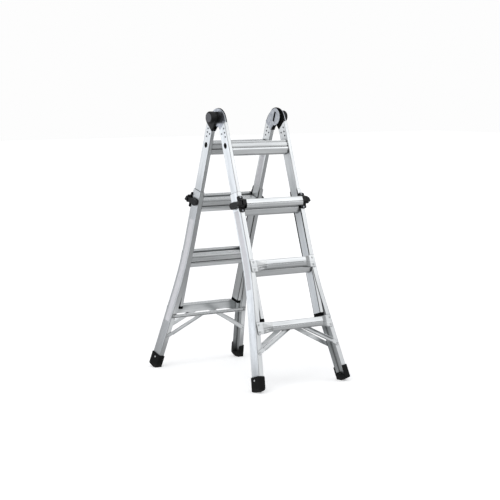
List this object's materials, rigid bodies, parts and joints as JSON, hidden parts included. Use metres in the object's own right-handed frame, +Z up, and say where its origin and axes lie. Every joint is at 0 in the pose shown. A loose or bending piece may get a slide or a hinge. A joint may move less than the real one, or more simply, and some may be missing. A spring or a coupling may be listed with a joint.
{
  "type": "multi position ladder",
  "caption": "Telescoping aluminium ladder standing as an A-frame, with splayed channel rails, ribbed steps, side lever locks, lockable top hinges and rubber feet.",
  "frame": {"origin": "on the floor, midway between the four feet", "axes": "+Z up, +X to the right across the steps, front frame towards -Y"},
  "size_m": [0.5708, 0.9472, 1.343],
  "materials": {
    "rail_aluminium": "mill-finish extruded aluminium",
    "rung_aluminium": "extruded aluminium with ribbed treads",
    "hinge_steel": "zinc-plated pressed steel",
    "dark_steel": "dark phosphated steel",
    "black_plastic": "moulded glass-filled nylon",
    "rubber": "moulded black rubber"
  },
  "bodies": {
    "front_outer_section": {"front_left_outer_rail": "rail_aluminium", "front_right_outer_rail": "rail_aluminium", "front_outer_rung_1": "rung_aluminium", "front_outer_rung_2": "rung_aluminium", "front_outer_rung_3": "rung_aluminium", "front_cross_bar": "rail_aluminium", "front_left_outside_brace": "rail_aluminium", "front_right_outside_brace": "rail_aluminium", "front_left_inside_brace": "rail_aluminium", "front_right_inside_brace": "rail_aluminium", "front_left_foot": "rubber", "front_right_foot": "rubber", "front_left_lock_housing": "black_plastic", "front_right_lock_housing": "black_plastic"},
    "front_inner_section": {"front_left_inner_rail": "rail_aluminium", "front_right_inner_rail": "rail_aluminium", "front_left_inner_rail_cap": "black_plastic", "front_right_inner_rail_cap": "black_plastic", "front_inner_rung_1": "rung_aluminium", "front_inner_rung_2": "rung_aluminium", "front_inner_rung_3": "rung_aluminium", "front_left_hinge_plate": "hinge_steel", "front_right_hinge_plate": "hinge_steel", "front_left_hinge_filler": "black_plastic", "front_right_hinge_filler": "black_plastic"},
    "rear_inner_section": {"rear_left_inner_rail": "rail_aluminium", "rear_right_inner_rail": "rail_aluminium", "rear_left_inner_rail_cap": "black_plastic", "rear_right_inner_rail_cap": "black_plastic", "rear_inner_rung_1": "rung_aluminium", "rear_inner_rung_2": "rung_aluminium", "rear_inner_rung_3": "rung_aluminium", "rear_left_hinge_plate": "hinge_steel", "rear_right_hinge_plate": "hinge_steel", "rear_left_hinge_filler": "hinge_steel", "rear_right_hinge_filler": "hinge_steel", "rear_left_hinge_cover": "black_plastic", "rear_right_hinge_cover": "black_plastic"},
    "rear_outer_section": {"rear_left_outer_rail": "rail_aluminium", "rear_right_outer_rail": "rail_aluminium", "rear_outer_rung_1": "rung_aluminium", "rear_outer_rung_2": "rung_aluminium", "rear_outer_rung_3": "rung_aluminium", "rear_cross_bar": "rail_aluminium", "rear_left_outside_brace": "rail_aluminium", "rear_right_outside_brace": "rail_aluminium", "rear_left_inside_brace": "rail_aluminium", "rear_right_inside_brace": "rail_aluminium", "rear_left_foot": "rubber", "rear_right_foot": "rubber", "rear_left_lock_housing": "black_plastic", "rear_right_lock_housing": "black_plastic"},
    "front_left_lock": {"front_left_lock_lever": "black_plastic"},
    "front_right_lock": {"front_right_lock_lever": "black_plastic"},
    "rear_left_lock": {"rear_left_lock_lever": "black_plastic"},
    "rear_right_lock": {"rear_right_lock_lever": "black_plastic"},
    "left_knob": {"rear_left_hinge_knob": "black_plastic", "rear_left_lock_bar": "dark_steel"},
    "right_knob": {"rear_right_hinge_knob": "black_plastic", "rear_right_lock_bar": "dark_steel"}
  },
  "joints": [
    {"name": "front_section_slide", "type": "slide", "parent": "front_outer_section", "child": "front_inner_section", "axis": [0, 0.299, 0.9542], "range_m": [-0.3048, 0.3048]},
    {"name": "frame_fold", "type": "hinge", "parent": "front_inner_section", "child": "rear_inner_section", "pos_m": [0, 0, 1.29639], "axis": [1, 0, 0], "range_deg": [-34.8, 145.2]},
    {"name": "rear_section_slide", "type": "slide", "parent": "rear_inner_section", "child": "rear_outer_section", "axis": [0, 0.299, -0.9542], "range_m": [-0.3048, 0.3048]},
    {"name": "front_left_lock_swing", "type": "hinge", "parent": "front_outer_section", "child": "front_left_lock", "pos_m": [-0.208, -0.22004, 0.8835], "axis": [0, 0.299, 0.9542], "range_deg": [0, 60], "stiffness_Nm_per_rad": 0.5, "springref_deg": -20.05},
    {"name": "front_right_lock_swing", "type": "hinge", "parent": "front_outer_section", "child": "front_right_lock", "pos_m": [0.208, -0.22004, 0.8835], "axis": [0, -0.299, -0.9542], "range_deg": [0, 60], "stiffness_Nm_per_rad": 0.5, "springref_deg": -20.05},
    {"name": "rear_left_lock_swing", "type": "hinge", "parent": "rear_outer_section", "child": "rear_left_lock", "pos_m": [-0.208, 0.22004, 0.8835], "axis": [0, 0.299, -0.9542], "range_deg": [0, 60], "stiffness_Nm_per_rad": 0.5, "springref_deg": -20.05},
    {"name": "rear_right_lock_swing", "type": "hinge", "parent": "rear_outer_section", "child": "rear_right_lock", "pos_m": [0.208, 0.22004, 0.8835], "axis": [0, -0.299, 0.9542], "range_deg": [0, 60], "stiffness_Nm_per_rad": 0.5, "springref_deg": -20.05},
    {"name": "left_knob_push", "type": "slide", "parent": "rear_inner_section", "child": "left_knob", "axis": [-1, 0, 0], "range_m": [-0.012, 0], "stiffness_N_per_m": 800, "springref_m": 0.005},
    {"name": "right_knob_push", "type": "slide", "parent": "rear_inner_section", "child": "right_knob", "axis": [1, 0, 0], "range_m": [-0.012, 0], "stiffness_N_per_m": 800, "springref_m": 0.005}
  ]
}
